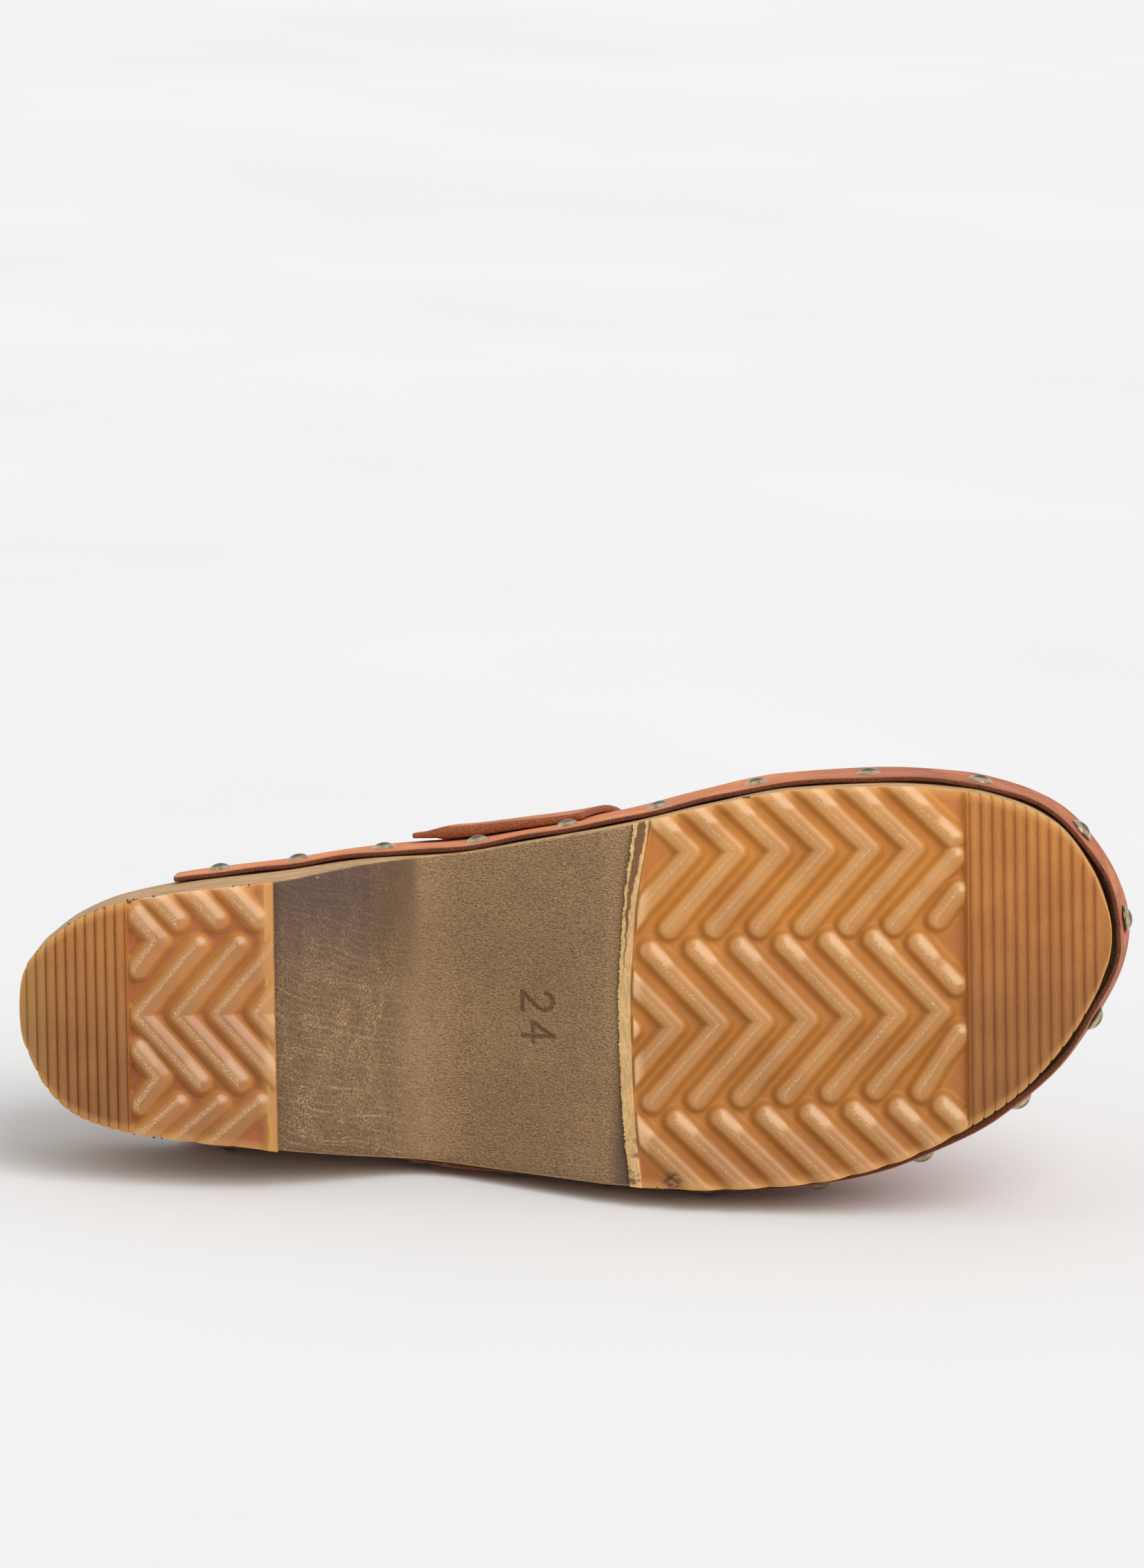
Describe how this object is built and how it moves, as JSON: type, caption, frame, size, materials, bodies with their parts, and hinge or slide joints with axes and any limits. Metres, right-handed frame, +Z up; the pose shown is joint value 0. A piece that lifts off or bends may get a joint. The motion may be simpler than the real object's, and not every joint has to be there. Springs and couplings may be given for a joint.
{
  "type": "heeled clog",
  "caption": "Left open-back clog with a one-block wooden sole and heel, ribbed rubber tread pads, a leather upper nailed round the edge with domed studs, and a broad instep strap.",
  "frame": {"origin": "centre of the bounding box's bottom, on the floor under the shoe as it lies on its outer side", "axes": "+X towards the toe, +Y from the tread towards the instep, +Z up, towards the shoe's inner side"},
  "size_m": [0.2586, 0.106, 0.1024],
  "materials": {
    "wood": "sanded, lightly sealed",
    "gum_rubber": "translucent, glossy",
    "tan_leather": "nubuck, raw cut edge",
    "brown_leather": "nubuck, raw cut edge",
    "aged_brass": "dark antique plating, polished domes"
  },
  "bodies": {
    "root": {"wood_sole": "wood", "heel_pad": "gum_rubber", "fore_pad": "gum_rubber", "upper": "tan_leather", "strap": "brown_leather", "stud_01": "aged_brass", "stud_02": "aged_brass", "stud_03": "aged_brass", "stud_04": "aged_brass", "stud_05": "aged_brass", "stud_06": "aged_brass", "stud_07": "aged_brass", "stud_08": "aged_brass", "stud_09": "aged_brass", "stud_10": "aged_brass", "stud_11": "aged_brass", "stud_12": "aged_brass", "stud_13": "aged_brass", "stud_14": "aged_brass", "stud_15": "aged_brass", "stud_16": "aged_brass", "stud_17": "aged_brass", "stud_18": "aged_brass", "stud_19": "aged_brass", "stud_20": "aged_brass", "stud_21": "aged_brass"}
  },
  "joints": []
}
